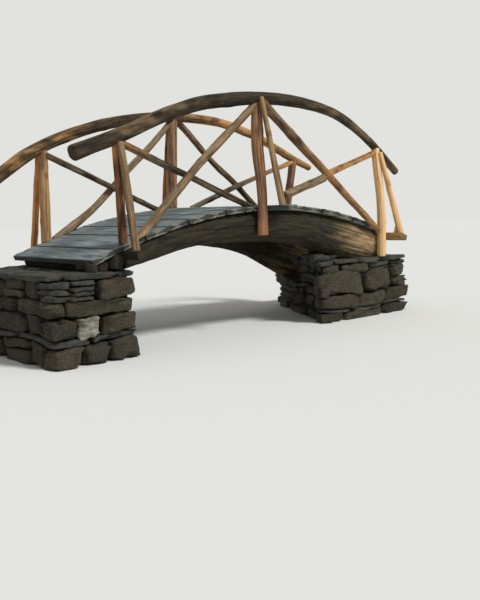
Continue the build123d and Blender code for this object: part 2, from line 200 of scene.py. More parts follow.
# Rings of an end's cap as shares of the radius, and how far each piece's grain lies from the next one's
cap_shares = np.array([0.05, 0.3, 0.55, 0.78, 0.93, 0.985])
grain_step = 3.1

# Heights and depths on a log, in metres: knots on one of 40 mm radius, and how the ends are worn and sawn
bark_thickness = 0.0022
knot_height = 0.005
end_wear = 0.004
end_crown = 0.003
end_roughness = 0.0022
foot_bedding = 0.001


def tube_rows(between):
    """Columns with a value for each row of a tube, its caps included: the share of the radius, 1 on the cut
    ends, and the side, which is -1 on the first cap, 1 on the last one and given for the rows between."""
    ones, along = np.ones(len(cap_shares)), np.ones(len(between))
    columns = (cap_shares, along, cap_shares[::-1]), (ones, 0 * along, ones), (-ones, between, ones)
    return (np.concatenate(column)[:, None] for column in columns)


def add_tube(node, points, across, run, marks, seed, finish):
    """A closed piece of wood from its rows of points. Its grain is the place across the profile and the
    distance along it, shifted for each piece, and each mark is spread over all points and both poles."""
    quads, fans = tube_faces(*points.shape[:2])
    spread = np.ones(points.shape[:2])
    grain = np.concatenate([across, ((run + grain_step * seed) * spread)[..., None]], -1)
    values = {"grain": closed(grain)}
    for mark, value in marks.items():
        values[mark] = closed((value * spread)[..., None])[:, 0]
    return add_piece("visual_" + node, closed(points), quads, fans, values, finish, node)


def log(node, stations, finish, slot, seed, around=64, every=0.009, across=(0, 1, 0), lumps=0.05,
        furrow=0.0012, split_count=6, split_depth=0.006, split_width=0.0035, knot_count=3, knot_size=0.028,
        bark=0.0, bare=0.0, grey=0.0, crook=0.12, floor=None):
    """A natural log: a round profile carried along a smooth path. The radius at an angle and a distance is
    the path's radius, times slow lumps, plus fine furrows and knots, less the splits. Both ends close with
    rings that shrink to a pole. Points under the floor are lifted onto it."""
    length = np.linalg.norm(np.diff(np.array(stations)[:, :3], axis=0), axis=1).sum()
    centres, radii, along = smooth_path(stations, max(int(length / every), 24))
    rows, ends = len(along), len(cap_shares)
    order = np.clip(np.arange(-ends, rows + ends), 0, rows - 1)
    share, cut, side = tube_rows(np.zeros(rows))
    ahead, first, second = (axis[order][:, None, :] for axis in path_axes(centres, across))
    angle = np.linspace(0, 2 * pi, around, endpoint=False)[None, :]
    run = along[order][:, None]
    base = radii[order][:, None]
    ring = np.stack(np.broadcast_arrays(np.cos(angle) * base, np.sin(angle) * base, run), -1)
    slow = layered(ring + seed, (0.09, 0.09, 0.32), seed, 2)
    fine = layered(ring + seed, (0.011, 0.011, 0.16), seed + 20, 2)
    crack = splits(angle, run, base, split_count, split_width, seed)
    bump = knots(angle, run, base, knot_count, knot_size, seed)
    cover = layered(ring + seed, (0.05, 0.05, 0.3), seed + 40, 3) + 2 * bark - 1.05
    cover = np.clip(2.4 * cover + 0.5, 0, 1)
    radius = base * (1 + lumps * slow) + furrow * fine * (1 + 0.8 * cover) + bark_thickness * cover
    radius = radius + knot_height * bump * (base / 0.04) ** 0.5 - split_depth * crack
    worn = end_wear * np.clip(1 - np.minimum(run, along[-1] - run) / 0.01, 0, 1) ** 2
    radius = (radius - worn) * share
    rough = side * end_roughness * layered(ring * share[..., None] + seed, 0.02, seed + 60, 2)
    crown = side * end_crown * (1 - share**2)
    drift = crook * radii.min() * layered(np.stack([run, run * 0, run * 0], -1) + seed, 0.45, seed + 80, 2)
    fade = np.sin(pi * np.clip(run / along[-1], 0, 1))
    reach = np.stack(np.broadcast_arrays(np.cos(angle) * radius + drift * fade, np.sin(angle) * radius), -1)
    points = centres[order][:, None, :] + reach[..., :1] * first
    points = points + reach[..., 1:] * second
    points = points + (rough + crown)[..., None] * ahead
    if floor is not None:
        points[..., 2] = np.maximum(points[..., 2], floor(points[..., 0]) - foot_bedding)
    shown, weathered = (np.clip(value(points) if callable(value) else value, 0, 1) for value in (bare, grey))
    marks = {
        "split": np.clip(crack * 1.3, 0, 1) * (1 - 0.5 * cut),
        "cut": cut,
        "bark": cover * (1 - cut) * (1 - np.clip(shown * 1.6 - 0.3, 0, 0.9)),
        "bare": shown,
        "grey": weathered,
        "knot": np.clip(np.abs(bump) * 1.2, 0, 1) * (1 - cut),
    }
    return add_tube(node, points, reach, run, marks, seed, finish)


def plank(node, middle, width, thickness, length, tilt, finish, slot, seed, ragged=0.006, bare=0.0, gap=0.0,
          sawn=1.0):
    """A sawn plank along Y: a rectangle with worn corners carried along the grain. Its faces carry long
    furrows and a slow warp, its ends are ragged, and splits run in from them."""
    around, rows = 56, max(int(length / 0.022), 8)
    corner = 0.007
    turn = np.linspace(0, 2 * pi, around, endpoint=False) + 0.02
    box = np.stack([np.cos(turn), np.sin(turn)], -1)
    box = box / np.max(np.abs(box), axis=1)[:, None]
    half = np.array([thickness / 2, width / 2])
    inner = half - corner
    flat = box * half
    held = np.clip(flat, -inner, inner)
    off = flat - held
    size = np.maximum(np.linalg.norm(off, axis=1), 1e-9)[:, None]
    profile = held + off / size * np.minimum(size, corner)
    share, cut, side = tube_rows(np.linspace(-1, 1, rows))
    run = side * length / 2
    ring = np.stack(np.broadcast_arrays(profile[None, :, 0], profile[None, :, 1], run), -1)
    fine = layered(ring + seed, (0.008, 0.008, 0.3), seed, 2)
    slow = layered(ring + seed, (0.3, 0.09, 0.5), seed + 10, 2)
    chance = np.random.default_rng(seed)
    crack = np.zeros(ring.shape[:2])
    for _ in range(5):
        place = chance.uniform(-0.42, 0.42) * width + 0.004 * np.sin(run * 21 + chance.uniform(0, 6))
        start = chance.choice([-1, 1]) * length / 2
        reach = np.clip(1 - np.abs(run - start) / chance.uniform(0.15, 0.7), 0, 1) ** 0.7
        crack = np.maximum(crack, reach * np.exp(-(((ring[..., 1] - place) / 0.0032) ** 2)))
    normal = profile - np.clip(profile, -inner * 0.9, inner * 0.9)
    normal = normal / np.maximum(np.linalg.norm(normal, axis=1), 1e-9)[:, None]
    furrow, split_depth, corner_wear, warp, crown = 0.0009, 0.0035, 0.003, 0.0016, 0.002
    relief = -0.0011 + furrow * fine - split_depth * crack
    worn = corner_wear * np.abs(layered(ring + seed, (0.03, 0.03, 0.06), seed + 30, 2))
    corners = (np.abs(normal).min(1) > 0.3)[None, :]
    relief = relief - worn * corners
    inward = (profile[None] + normal[None] * relief[..., None]) * share[..., None]
    inward[..., 0] += warp * (slow - 1)
    face = np.stack(np.broadcast_arrays(0 * run, profile[None, :, 1] * share, side), -1)
    torn = ragged * (layered(face + seed, (1, 0.03, 1), seed + 50, 3) - 1)
    lengthways = run + side * torn * np.clip((np.abs(side) - 0.9) * 10, 0, 1) + side * crown * (1 - share)
    up = np.array([sin(tilt), 0, cos(tilt)])
    over = np.array([cos(tilt), 0, -sin(tilt)])
    points = np.asarray(middle)[None, None, :] + inward[..., :1] * up + inward[..., 1:] * over
    points = points + lengthways[..., None] * np.array([0, 1, 0])
    # Painted shade: the long edges darken, as the gaps between the deck boards lie in shade; this goes on the
    # split mark
    edge = gap * np.clip(1 - (width / 2 - np.abs(ring[..., 1])) / 0.011, 0, 1)
    marks = {"split": np.maximum(np.clip(crack * 1.3, 0, 1), edge), "cut": sawn * cut, "bare": bare}
    marks.update(dict.fromkeys(("bark", "knot", "grey"), 0))
    return add_tube(node, points, inward, run, marks, seed, finish)


# Materials

class Finish:
    """The nodes of a material or of the world, built by short calls that return sockets."""

    def __init__(self, owner):
        owner.use_nodes = True
        self.owner = owner
        self.nodes = owner.node_tree.nodes
        self.links = owner.node_tree.links

    def join(self, value, socket):
        if isinstance(value, bpy.types.NodeSocket):
            self.links.new(value, socket)
        else:
            socket.default_value = value

    def node(self, kind, values, **settings):
        """A node with its settings, and a number or a socket on each input that is given by name or place."""
        node = self.nodes.new("ShaderNode" + kind)
        for name, value in settings.items():
            setattr(node, name, value)
        for name, value in values.items():
            self.join(value, node.inputs[name])
        return node

    def mark(self, name, output="Fac"):
        return self.node("Attribute", {}, attribute_name=name).outputs[output]

    def stretch(self, vector, scale):
        return self.node("Mapping", {"Vector": vector, "Scale": scale}).outputs["Vector"]

    def noise(self, vector, scale, detail=4, roughness=0.6, distortion=0.0):
        values = {"Scale": 1, "Detail": detail, "Roughness": roughness, "Distortion": distortion}
        return self.node("TexNoise", {"Vector": self.stretch(vector, scale), **values}).outputs["Fac"]

    def math(self, operation, first, second=0.0, clamp=False):
        return self.node("Math", {0: first, 1: second}, operation=operation, use_clamp=clamp).outputs[0]

    def times(self, first, second):
        return self.math("MULTIPLY", first, second)

    def span(self, value, low, high, to_low=0.0, to_high=1.0):
        values = {"From Min": low, "From Max": high, "To Min": to_low, "To Max": to_high}
        return self.node("MapRange", {"Value": value, **values}).outputs["Result"]

    def ramp(self, value, stops):
        node = self.node("ValToRGB", {"Fac": value})
        while len(node.color_ramp.elements) < len(stops):
            node.color_ramp.elements.new(0.5)
        for element, (position, colour) in zip(node.color_ramp.elements, stops):
            element.position = position
            element.color = colour
        return node.outputs["Color"]

    def mix(self, share, first, second):
        """Two colours mixed: a Mix node takes them on inputs 6 and 7, and gives a colour on output 2."""
        return self.node("Mix", {0: share, 6: first, 7: second}, data_type="RGBA").outputs[2]

    def surface(self, values):
        """A material with numbers or sockets on its shader's inputs, which are given by name."""
        for name, value in values.items():
            self.join(value, self.nodes["Principled BSDF"].inputs[name])
        return self.owner

    def rough_surface(self, colour, roughness, height, depth):
        """A material whose height, times a depth in metres, stands out as fine relief."""
        bump = self.node("Bump", {"Distance": depth, "Strength": 0.8, "Height": height})
        return self.surface({"Base Color": colour, "Roughness": roughness, "Normal": bump.outputs["Normal"],
                             "Specular IOR Level": 0.25})


def tone(red, green, blue):
    """A colour as seen on a screen, from 0 to 255, in Blender's linear values."""
    return tuple(((value / 255 + 0.055) / 1.055) ** 2.4 for value in (red, green, blue)) + (1,)


def shaded(colour, share):
    """A colour with a share of its light."""
    return tuple(share * value for value in colour[:3]) + (1,)


def wood(name, light, dark, grey, fresh, bark, ends, grey_share=0.5, fibre_scale=1.0, check_share=0.75,
         dappled_shade=0.0):
    """Weathered wood on the grain's own coordinates: streaks of light and dark along the grain, patches where
    it has gone grey, fresh wood where it is bare, bark, dark checks and knots, and rings on cut ends."""
    light, dark, grey, fresh, bark, ends = (tone(*seen) for seen in (light, dark, grey, fresh, bark, ends))
    f = Finish(bpy.data.materials.new(name))
    grain = f.mark("grain", "Vector")

    def figure(across, lengthways, *more):
        """Noise with so many cells to the metre across the grain and along it."""
        return f.noise(grain, (across, across, lengthways), *more)

    fibres = figure(240 * fibre_scale, 6, 5, 0.7)
    streaks = figure(60 * fibre_scale, 2.4, 4, 0.65, 0.4)
    checks = figure(95 * fibre_scale, 1.6, 3, 0.6, 0.2)
    patches = figure(8, 3.2)
    speckle = figure(150, 90, 3)
    silver = f.math("ADD", f.span(patches, 0.66 - 0.3 * grey_share, 0.84 - 0.3 * grey_share),
                    f.times(f.mark("grey"), f.span(patches, 0.3, 0.6, 0.6, 1.1)), clamp=True)
    worn = f.math("SUBTRACT", 1.0, f.times(f.mark("bare"), 0.6))
    rind = f.mix(f.span(figure(70, 9, 4, 0.7), 0.35, 0.62), bark, shaded(bark, 0.3))
    across = f.node("SeparateXYZ", {0: grain}).outputs
    reach = f.math("SQRT", f.math("ADD", f.math("POWER", across[0], 2.0), f.math("POWER", across[1], 2.0)))
    wobble = f.times(figure(40, 0, 2), 0.012)
    rings = f.math("SINE", f.times(f.math("ADD", reach, wobble), 1500.0))
    face = f.mix(f.span(rings, -1, 1, 0.0, 0.6), ends, shaded(ends, 0.4))
    face = f.mix(f.span(figure(30, 30), 0.4, 0.7, 0.0, 0.6), face, shaded(ends, 0.3))
    deep = shaded(dark, 0.12)
    layers = [
        (silver, grey),
        (f.times(f.mark("bare"), f.span(patches, 0.3, 0.52, 0.35, 1.0)), fresh),
        (f.times(f.span(streaks, 0.34, 0.52, 0.7, 0.0), worn), dark),
        (f.times(f.span(fibres, 0.38, 0.60, 0.7, 0.0), worn), dark),
        (f.span(speckle, 0.58, 0.75, 0.0, 0.3), grey),
        (f.times(f.mark("bark"), 0.92), rind),
        (f.mark("cut"), face),
        (f.span(checks, 0.64, 0.72, 0.0, check_share), deep),
        (f.times(f.mark("knot"), 0.7), shaded(dark, 0.35)),
        # The split mark also carries the painted shade along the deck boards' long edges
        (f.times(f.mark("split"), 0.95), deep)]
    # Painted dappled shade: big patches darkened to half the dark tone, as under leaves
    if dappled_shade:
        layers.insert(-2, (f.span(figure(16, 5, 4, 0.62), 0.36, 0.58, dappled_shade, 0.0), shaded(dark, 0.5)))
    body = f.ramp(streaks, [(0.32, dark), (0.64, light)])
    for share, colour in layers:
        body = f.mix(share, body, colour)
    roughness = f.span(fibres, 0.3, 0.7, 0.95, 0.72)
    height = f.math("SUBTRACT", f.math("ADD", fibres, f.times(streaks, 1.2)), checks)
    return f.rough_surface(body, roughness, height, 0.008)


def masonry_finish():
    """Rough stone on Object coordinates: each stone has its own tone, thin slates are bluer, and over all lie
    level layers, grit, moss and rusty stains."""
    f = Finish(bpy.data.materials.new("dry_stone"))
    place = f.node("TexCoord", {}).outputs["Object"]
    coarse = f.noise(place, (12, 12, 18), 5, 0.65)
    layers = f.noise(place, (7, 7, 75), 4, 0.6, 0.3)
    grit = f.noise(place, (110, 110, 150), 5, 0.7)
    rust = f.noise(place, (6, 6, 9), 3, 0.6)
    moss = f.noise(f.stretch(place, (1.0, 1.0, 1.3)), (8, 8, 8), 5, 0.65)
    base = f.ramp(f.mark("tone"), [(0.0, tone(38, 34, 27)), (0.4, tone(58, 53, 43)), (0.85, tone(84, 78, 64)),
                                   (1.0, tone(182, 180, 164))])
    base = f.mix(f.times(f.mark("slate"), 0.6), base, tone(74, 80, 79))
    for pattern, low, high, share_low, share_high, colour in (
            (coarse, 0.35, 0.62, 0.75, 0.0, (34, 30, 23)), (layers, 0.5, 0.72, 0.0, 0.6, (38, 34, 27)),
            (grit, 0.5, 0.72, 0.0, 0.5, (140, 132, 112)), (rust, 0.58, 0.75, 0.0, 0.5, (98, 70, 44)),
            (moss, 0.57, 0.7, 0.0, 0.5, (70, 76, 42))):
        base = f.mix(f.span(pattern, low, high, share_low, share_high), base, tone(*colour))
    # Near black where the inner solid is: painted shade behind the joints between the stones
    base = f.mix(f.mark("fill"), base, tone(14, 12, 9))
    height = f.math("ADD", f.times(coarse, 1.4), f.math("ADD", f.times(layers, 1.2), grit))
    return f.rough_surface(base, f.span(grit, 0.3, 0.7, 0.95, 0.75), height, 0.014)


# Each wood's screen colours: light and dark streaks, grey, fresh wood, bark and cut ends
rail_tones = (100, 84, 58), (32, 27, 17), (76, 71, 53)
rail_bark_ends = (36, 31, 21), (88, 70, 50)
near_rail_finish = wood("rail_wood", *rail_tones, (178, 148, 106), *rail_bark_ends, 0.4, dappled_shade=0.7)
# The far handrail's fresh wood is brighter and more orange than the near one's: painted sunlight
far_rail_finish = wood("sunlit_rail_wood", *rail_tones, (222, 166, 104), *rail_bark_ends, 0.4, dappled_shade=0.7)
post_finish = wood("post_wood", (158, 130, 94), (88, 66, 46), (152, 140, 112), (226, 172, 112),
                   (70, 48, 34), (150, 116, 80), 0.3, check_share=0.5)
red_finish = wood("red_post_wood", (158, 116, 86), (82, 50, 36), (132, 108, 86), (232, 156, 90),
                  (60, 34, 25), (150, 116, 80), 0.2)
cedar_finish = wood("grooved_post_wood", (166, 136, 112), (98, 70, 54), (156, 138, 120), (214, 150, 96),
                    (104, 68, 50), (130, 104, 80), 0.3)
# Peeled pale wood, made much brighter than the other posts: painted sunlight on the near right post, its
# brace and the wedge
peeled_sunlit_finish = wood("peeled_sunlit_wood", (252, 208, 152), (216, 162, 110), (232, 196, 150), (255, 218, 160),
                     (120, 76, 50), (222, 184, 136), 0.1, check_share=0.25)
fresh_finish = wood("fresh_wood", (214, 150, 92), (132, 84, 50), (190, 150, 108), (236, 168, 100),
                    (96, 62, 40), (190, 140, 90), 0.1, check_share=0.4)
pole_finish = wood("pole_wood", (142, 122, 90), (58, 47, 32), (150, 142, 118), (222, 160, 96),
                   (60, 46, 32), (130, 106, 76), 0.35, dappled_shade=0.5)
deck_finish = wood("deck_wood", (166, 177, 174), (90, 100, 101), (128, 144, 146), (180, 150, 118),
                   (90, 70, 50), (150, 148, 136), 0.5, fibre_scale=0.8)
# The girder wood's fresh tone also paints the sunlight on the girders' right ends
beam_finish = wood("girder_wood", (68, 61, 44), (26, 23, 16), (56, 54, 40), (224, 188, 138),
                   (34, 30, 22), (66, 56, 42), 0.4, fibre_scale=0.8)
stone_finish = masonry_finish()


# Handrails

def over_deck(*stations):
    """Stations (x, y, z, radius) from stations whose height is given above the deck's arch."""
    return [(x, y, float(deck_height(x)) + height, radius) for x, y, height, radius in stations]


near_rail = over_deck(
    (-2.01, -0.589, 0.903, 0.067), (-1.768, -0.596, 0.890, 0.064), (-1.533, -0.606, 0.897, 0.062),
    (-1.06, -0.637, 0.961, 0.061), (-0.748, -0.653, 0.998, 0.062), (-0.398, -0.661, 1.014, 0.064),
    (0.024, -0.67, 1.036, 0.061), (0.421, -0.668, 1.047, 0.06), (0.76, -0.665, 1.056, 0.055),
    (1.21, -0.662, 1.046, 0.049), (1.72, -0.658, 0.955, 0.043), (2.036, -0.655, 0.868, 0.042),
    (2.35, -0.65, 0.78, 0.042))
far_rail = over_deck(*((x, 0.63, height, radius) for x, height, radius in (
    (-2.2, 0.757, 0.062), (-2.042, 0.8, 0.062), (-1.75, 0.88, 0.061), (-1.446, 0.921, 0.06),
    (-1.128, 0.946, 0.058), (-0.792, 0.966, 0.057), (-0.438, 0.976, 0.056), (0.163, 0.984, 0.053),
    (0.762, 0.978, 0.05), (1.216, 0.939, 0.048), (1.704, 0.875, 0.046), (1.962, 0.852, 0.044),
    (2.251, 0.858, 0.04))))


def rail_point(rail, x):
    """Point on a handrail's centre line at x."""
    stations = np.array(rail)
    return tuple(float(np.interp(x, stations[:, 0], stations[:, column])) for column in range(3))


rail_look = dict(slot="rail_wood", around=84, every=0.012, lumps=0.055, furrow=0.0018,
                 split_count=16, split_depth=0.008, split_width=0.0042, knot_count=12, knot_size=0.034,
                 bark=0.2)


def worn_bare(points):
    """Bare wood in patches on the near handrail, most on its left third and some on its right half."""
    patch = layered(points, (0.3, 0.05, 0.05), 7, 2)
    left = np.clip((-0.75 - points[..., 0]) * 2, 0, 0.6) * np.clip((points[..., 0] + 1.8) * 5, 0.15, 1)
    reach = left + np.clip((points[..., 0] - 0.6) * 1.2, 0, 0.45)
    return reach * np.clip(0.7 + 1.2 * patch, 0, 1)


def sunned(points):
    """Fresh orange wood, lit up by painted sunlight, on the far handrail's right half and patches of it on
    the left.
    """
    patch = layered(points, (0.3, 0.05, 0.05), 8, 2)
    left = np.clip((-0.9 - points[..., 0]) * 2, 0, 1) * np.clip(0.4 + 1.2 * patch, 0, 1)
    return 0.1 + 0.8 * np.clip(points[..., 0] * 1.5 + 0.3, 0, 1) + 0.6 * left


log("handrail_near", near_rail, near_rail_finish, seed=3, grey=0.5, bare=worn_bare, **rail_look)
log("handrail_far", far_rail, far_rail_finish, seed=4, grey=0.35, bare=sunned, **rail_look)


# Posts, braces and poles

def stick(node, start, end, radius, seed, slim=0.95, mid=(), **look):
    """A post, brace or pole between two points, a little slimmer at its end unless told otherwise."""
    values = dict(finish=post_finish, slot="post_wood", around=56, bark=0.2, bare=0.4, knot_count=4)
    stations = [(*start, radius), *mid, (*end, radius * slim)]
    log(node, stations, seed=seed, **{**values, **look})


left_x, middle_x, far_middle_x, right_x = -1.59, -0.008, -0.048, 1.936
deck_line, middle_outer_line, right_outer_line = 0.652, 0.7473, 0.7503
near_heads = [rail_point(near_rail, x) for x in (left_x - 0.01, middle_x + 0.016, right_x + 0.004)]
far_heads = [rail_point(far_rail, x) for x in (left_x - 0.008, middle_x + 0.008, right_x + 0.008)]
masonry_top = float(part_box("post_near_right")[0][2])


def on_deck(x, y, aside=0.0):
    """A foot sunk a little into the deck at x, and set aside along it."""
    return (x + aside, y, deck_height(x) - 0.02)


def outer_stations(x, line, foot_z, radius):
    """Foot and waist of a post that runs down past the deck's edge."""
    waist_z = float(deck_height(x)) + 0.05
    return (x, line, foot_z), [(x, line, foot_z + 0.3, radius), (x, line, waist_z, radius)]


def high_up(level):
    """Fresh wood above a level: painted sunlight on a post's top, over painted shade below it."""
    return lambda points: 0.25 + 0.7 * np.clip((points[..., 2] - level) / 0.08, 0, 1)


def low_down(level):
    """Fresh wood below a level, which also paints sunlight on a post's foot."""
    return lambda points: 0.5 + 0.4 * np.clip((level - points[..., 2]) / 0.05, 0, 1)


# The near left post is painted in shade below its sunlit top, by dark bark and by fresh wood only high up
stick("post_near_left", on_deck(left_x, -deck_line), near_heads[0], 0.037, 11, floor=deck_height, bark=0.4,
      bare=high_up(1.62), finish=red_finish)
stick("post_far_left", on_deck(left_x, deck_line), far_heads[0], 0.05, 12, floor=deck_height, bark=0.05,
      bare=0.7, grey=0.2, knot_count=8)
stick("post_far_middle", on_deck(far_middle_x, deck_line, 0.025), far_heads[1], 0.055, 13, floor=deck_height,
      bark=0.16, grey=0.4, split_count=16, split_depth=0.009, finish=cedar_finish)
foot, waist = outer_stations(middle_x, -middle_outer_line, crown_z - 0.294, 0.047)
halfway_y = (near_heads[1][1] - middle_outer_line) / 2
waist.append((middle_x - 0.02, halfway_y, deck_height(middle_x) + 0.55, 0.059))
stick("post_near_middle", foot, near_heads[1], 0.052, 14, mid=waist, bark=0.1, bare=low_down(1.14), slim=1.02,
      split_count=14, finish=cedar_finish)
foot, waist = outer_stations(right_x, -right_outer_line, masonry_top, 0.05)
stick("post_near_right", foot, near_heads[2], 0.05, 15, mid=waist, bark=0.0, bare=0.8, split_count=5,
      split_depth=0.003, finish=peeled_sunlit_finish)
foot, waist = outer_stations(right_x, right_outer_line, masonry_top, 0.05)
stick("post_far_right", foot, far_heads[2], 0.05, 16, mid=waist, bark=0.25, bare=0.4, finish=cedar_finish)

left_arm_x, right_arm_x, left_arm_end = -1.612, 2.0497, 0.925
left_arm_z = (float(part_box("outrigger_left")[0][2]) + float(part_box("outrigger_left")[1][2])) / 2
right_arm_foot = float(deck_height(right_arm_x)) - board_thickness - 0.03


def beside(head, x, y, z):
    """A point set off from a post's head."""
    return (head[0] + x, head[1] + y, head[2] + z)


def arm_floor(x):
    """Height of the right outrigger's upper face."""
    return deck_height(x) - board_thickness


stick("brace_near_left", (left_arm_x, -0.866, left_arm_z + 0.036),
      beside(near_heads[0], -0.002, -0.071, -0.05), 0.033, 21, bark=0.2, bare=0.1, grey=0.4)
stick("brace_far_left", (left_arm_x, 0.866, left_arm_z + 0.02),
      beside(far_heads[0], 0.004, 0.079, -0.056), 0.033, 22, bark=0.05, bare=0.9, finish=fresh_finish)
stick("brace_near_middle", on_deck(middle_x + 0.076, -0.95), beside(near_heads[1], -0.012, -0.078, 0.0),
      0.034, 23, floor=deck_height, bark=0.05, bare=0.4, grey=0.6, slim=0.72, crook=0.03)
stick("brace_far_middle", on_deck(middle_x + 0.09, 0.93), beside(far_heads[1], 0.006, 0.078, -0.05),
      0.03, 24, floor=deck_height, bark=0.2, finish=red_finish, bare=0.5)
stick("brace_near_right", (right_arm_x + 0.015, -0.935, right_arm_foot),
      beside(near_heads[2], 0.012, -0.059, -0.05), 0.036, 25, floor=arm_floor, bark=0.0, bare=0.4, slim=0.8,
      split_count=4, split_depth=0.003, crook=0.03, finish=peeled_sunlit_finish)
stick("brace_far_right", (right_arm_x + 0.04, 0.935, right_arm_foot),
      beside(far_heads[2], 0.04, 0.076, -0.05), 0.033, 26, floor=arm_floor, bark=0.2)


def bent(node, seed, stations, **look):
    """A pole through several stations over the deck."""
    values = dict(finish=pole_finish, slot="pole_wood", around=48, bark=0.12, bare=0.3, knot_count=6,
                  crook=0.4, lumps=0.08, floor=deck_height)
    log(node, over_deck(*stations), seed=seed, **{**values, **look})


bent("diagonal_near_1", 31, [(-1.49, -0.69, -0.02, 0.038), (-0.76, -0.688, 0.455, 0.038),
                             (-0.024, -0.684, 0.972, 0.035)], grey=0.7)
bent("diagonal_near_2", 32, [(-1.578, -0.603, 0.844, 0.032), (-0.066, -0.654, -0.015, 0.028)],
     bark=0.45, grey=0.2, bare=lambda points: np.clip(0.6 - (points[..., 0] + 1.45) * 2.4, 0, 1))
bent("diagonal_near_3", 33, [(0.056, -0.686, 1.0, 0.047), (1.87, -0.754, -0.066, 0.034)], floor=None,
     bark=0.18, knot_count=9, grey=0.1,
     bare=lambda points: np.clip((points[..., 0] - 0.3) * 1.2, 0.25, 0.7))
bent("diagonal_near_4", 34, [(1.912, -0.66, 0.832, 0.033), (1.012, -0.718, 0.372, 0.034)], bare=1.0, bark=0.0)
bent("diagonal_near_5", 35, [(0.946, -0.72, 0.318, 0.042), (0.088, -0.95, 0.086, 0.039)], bare=0.25, grey=0.6,
     bark=0.0)
bent("diagonal_far_1", 36, [(-1.5, 0.655, -0.03, 0.044), (-1.248, 0.655, 0.059, 0.04),
                            (-1.061, 0.655, 0.138, 0.036), (-0.848, 0.655, 0.272, 0.035),
                            (-0.627, 0.655, 0.44, 0.035), (-0.331, 0.65, 0.655, 0.034),
                            (-0.022, 0.64, 0.93, 0.033)], grey=1.0)
bent("diagonal_far_2", 37, [(-1.584, 0.6, 0.818, 0.03), (-0.25, 0.584, -0.015, 0.028)], bark=0.5, bare=0.0)
bent("diagonal_far_3", 38, [(0.044, 0.642, 0.958, 0.035), (0.127, 0.658, 0.909, 0.035),
                            (0.47, 0.668, 0.63, 0.034), (0.703, 0.67, 0.46, 0.034),
                            (0.947, 0.67, 0.322, 0.033), (1.226, 0.664, 0.127, 0.033),
                            (1.46, 0.66, -0.03, 0.032)], bark=0.4, grey=0.3)
bent("diagonal_far_4", 39, [(0.214, 0.604, -0.015, 0.03), (0.852, 0.6, 0.247, 0.03),
                            (1.5, 0.602, 0.568, 0.028), (1.91, 0.622, 0.8, 0.027)], grey=0.5,
     bare=lambda points: np.clip(points[..., 0] - 0.9, 0, 1))

# The left outrigger is dark girder wood with bark, partly painted shade, as its end lies in deep shade under
# the deck
log("outrigger_left",
    [(left_arm_x, -left_arm_end, left_arm_z, 0.037), (left_arm_x, left_arm_end, left_arm_z, 0.036)],
    beam_finish, "outrigger_wood", 41, around=48, across=(1, 0, 0), bark=0.35)
sill_low, sill_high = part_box("sill_log")
sill_x = float(sill_low[0] + sill_high[0]) / 2
sill_z = float(sill_high[2]) - 0.052
log("sill_log", [(sill_x, -0.64, sill_z, 0.052), (sill_x, 0.64, sill_z, 0.05)], beam_finish,
    "girder_wood", 42, around=48, across=(1, 0, 0), bark=0.4, floor=lambda x: float(sill_low[2]) + 0 * x)


# Trunks

def belly(node, stations, side, seed):
    """A girder: an ellipse carried along the deck's arch, with its outer face on the side line, cut level
    with the boards' undersides. Stations are x, depth below the boards and half width."""
    hewn, board_gap = 0.012, 0.002  # what the cut takes off the ellipse, and the gap over the cut
    low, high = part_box(node)
    x = np.linspace(float(low[0]), float(high[0]), 12)
    places, depths, half_widths = np.array(stations).T
    depth = np.interp(x, places, depths)
    wide = np.interp(x, places, half_widths)
    seat = deck_height(x) - board_thickness
    half = (depth + hewn) / 2
    path = np.stack([x, side * (trunk_face - wide), seat + hewn - half, half], -1)

    def bare(points):
        """Pale wood that gains on the dark skin towards the right end, in streaks along the log: bare wood
        with painted sunlight on it.
        """
        fall = points[..., 2] - deck_height(points[..., 0])
        across = np.stack([points[..., 0] / 0.8, points[..., 1] / 0.04, fall / 0.02], -1)
        return np.clip((points[..., 0] - 1.15) * 0.95 + 0.32 * layered(across + seed, 1, seed, 2), 0, 1)

    piece = log(node, path.tolist(), beam_finish, "girder_wood", seed, around=100, every=0.014,
                lumps=0.03, furrow=0.0035, split_count=22, split_depth=0.012, split_width=0.006,
                knot_count=8, knot_size=0.05, bark=0.16, bare=bare)
    count = len(piece.data.vertices)
    points = np.empty(count * 3, np.float32)
    piece.data.vertices.foreach_get("co", points)
    points = points.reshape(-1, 3)
    slim = np.interp(points[:, 0], x, wide / half)
    line = np.interp(points[:, 0], x, path[:, 1])
    points[:, 1] = line + (points[:, 1] - line) * slim
    points[:, 1] = np.clip(points[:, 1], -trunk_face, trunk_face)
    points[:, 2] = np.minimum(points[:, 2], deck_height(points[:, 0]) - board_thickness - board_gap)
    points[:, 2] = np.maximum(points[:, 2], float(low[2]))
    piece.data.vertices.foreach_set("co", points.ravel())


near_trunk = [(-1.93, 0.16, 0.09), (-1.612, 0.176, 0.098), (-1.24, 0.215, 0.12), (-0.8, 0.226, 0.14),
              (-0.28, 0.283, 0.16), (0.25, 0.322, 0.165), (0.62, 0.338, 0.168), (1.03, 0.405, 0.178),
              (1.29, 0.436, 0.185), (1.6, 0.43, 0.185), (1.8, 0.402, 0.176), (2.2, 0.3, 0.155)]
far_trunk = [(-1.93, 0.16, 0.092), (-1.612, 0.176, 0.102), (-1.24, 0.232, 0.13), (-0.8, 0.27, 0.155),
             (-0.28, 0.33, 0.172), (0.25, 0.385, 0.18), (0.62, 0.416, 0.185), (0.97, 0.474, 0.19),
             (1.23, 0.53, 0.192), (1.43, 0.596, 0.188), (1.63, 0.652, 0.18), (1.82, 0.65, 0.17),
             (2.2, 0.56, 0.15)]
belly("girder_near", near_trunk, -1, 51)
belly("girder_far", far_trunk, 1, 52)


# Boards

